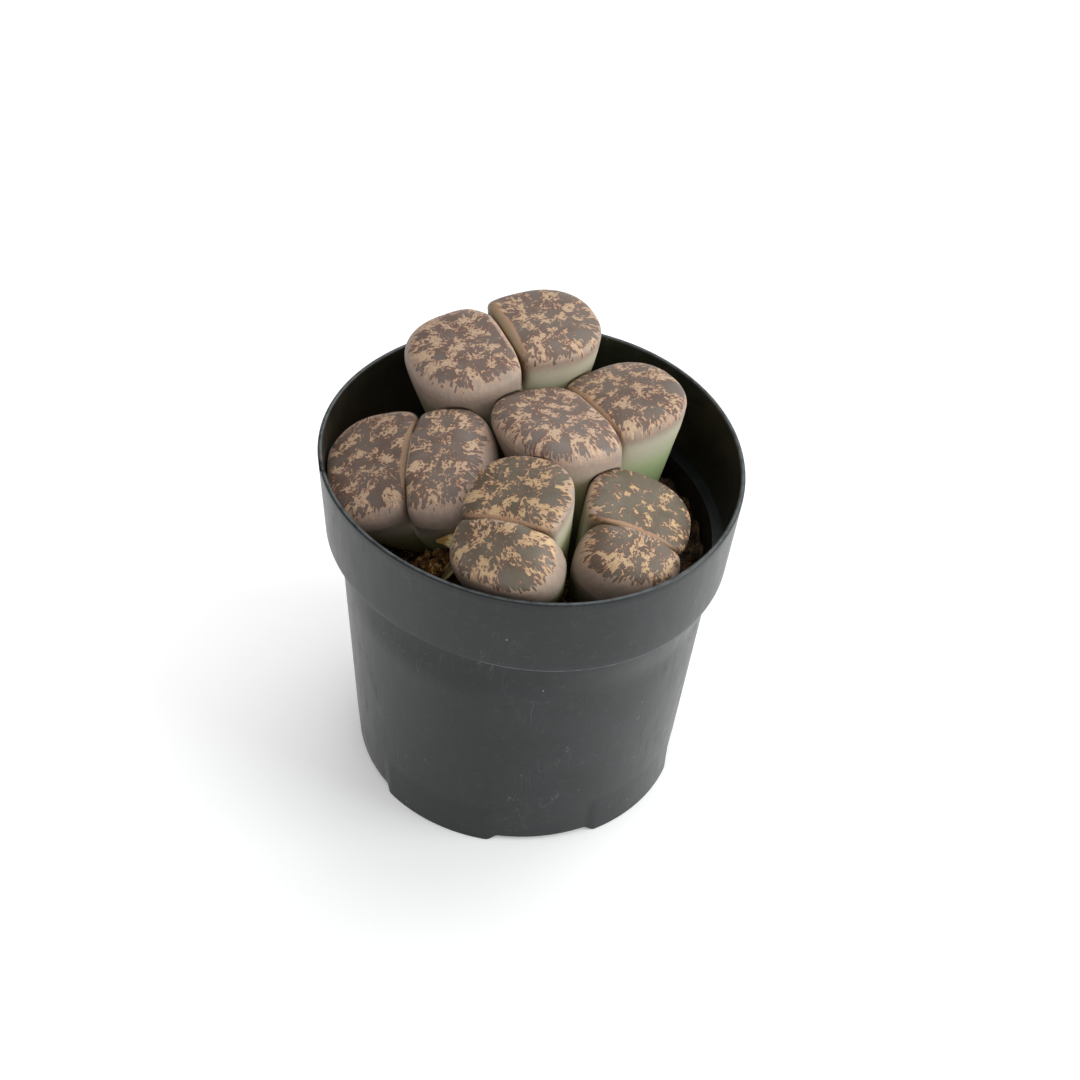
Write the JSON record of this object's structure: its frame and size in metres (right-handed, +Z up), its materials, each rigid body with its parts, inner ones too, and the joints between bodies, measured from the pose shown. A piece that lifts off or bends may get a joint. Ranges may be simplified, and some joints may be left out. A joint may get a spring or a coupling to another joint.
{
  "type": "potted lithops",
  "caption": "Clump of living stones, pairs of fused, patterned succulent leaves, growing in gritty soil in a round plastic nursery pot.",
  "frame": {"origin": "middle of the pot's footprint, on the surface that the pot stands on", "axes": "+Z up, -Y towards the picture's viewer, +X to the right seen from the front"},
  "size_m": [0.0662, 0.0639, 0.0704],
  "materials": {
    "pot_plastic": "near-black moulded polypropylene, satin, lightly scuffed and dusty",
    "soil": "dark brown gritty potting mix, rough",
    "leaf": "waxy succulent skin, sand-coloured with a grey-brown branching pattern of windows on top",
    "dry_skin": "dry golden-brown papery old leaf"
  },
  "bodies": {
    "root": {"pot": "pot_plastic", "soil": "soil", "head_back_left": "leaf", "head_middle": "leaf", "head_left": "leaf", "head_front": "leaf", "head_right": "leaf", "dry_skin_front": "dry_skin"}
  },
  "joints": []
}
